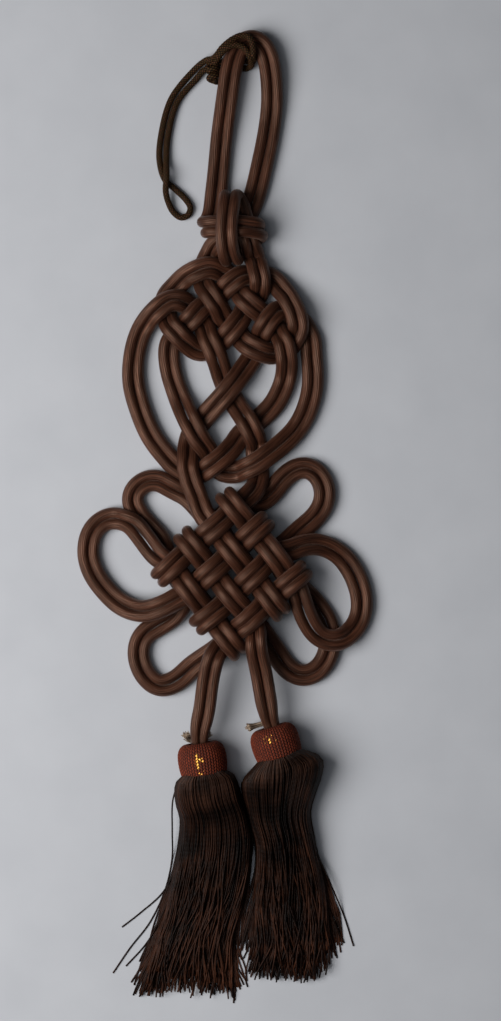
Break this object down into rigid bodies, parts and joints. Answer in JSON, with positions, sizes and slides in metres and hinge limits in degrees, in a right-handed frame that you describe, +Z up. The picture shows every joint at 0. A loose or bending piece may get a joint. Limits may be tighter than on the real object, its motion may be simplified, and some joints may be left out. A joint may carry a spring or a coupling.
{
  "type": "macrame tassel wall hanging",
  "caption": "Chinese-knot hanging of doubled satin cord: a long top loop, a cross knot, an oval woven knot and an endless knot with petals, ending in two capped thread tassels.",
  "frame": {"origin": "on the surface that it lies on, under the middle of the object without its free hanger cord", "axes": "+Z up from the surface that it lies on, towards its front; +Y towards the hanging loop; +X to the right as seen from the front"},
  "size_m": [0.1319, 0.432, 0.0217],
  "materials": {
    "satin_cord": "satin",
    "hanger_braid": "matte",
    "cap_weave": "matte with gold glints",
    "tassel_thread": "silky",
    "tie_cord": "matte"
  },
  "bodies": {
    "root": {"knotted_cord": "satin_cord", "hanger_knot": "hanger_braid", "hanger_cord": "hanger_braid", "cap_left": "cap_weave", "cap_right": "cap_weave", "tassel_left": "tassel_thread", "tassel_right": "tassel_thread", "tie_left": "tie_cord", "tie_right": "tie_cord"}
  },
  "joints": []
}
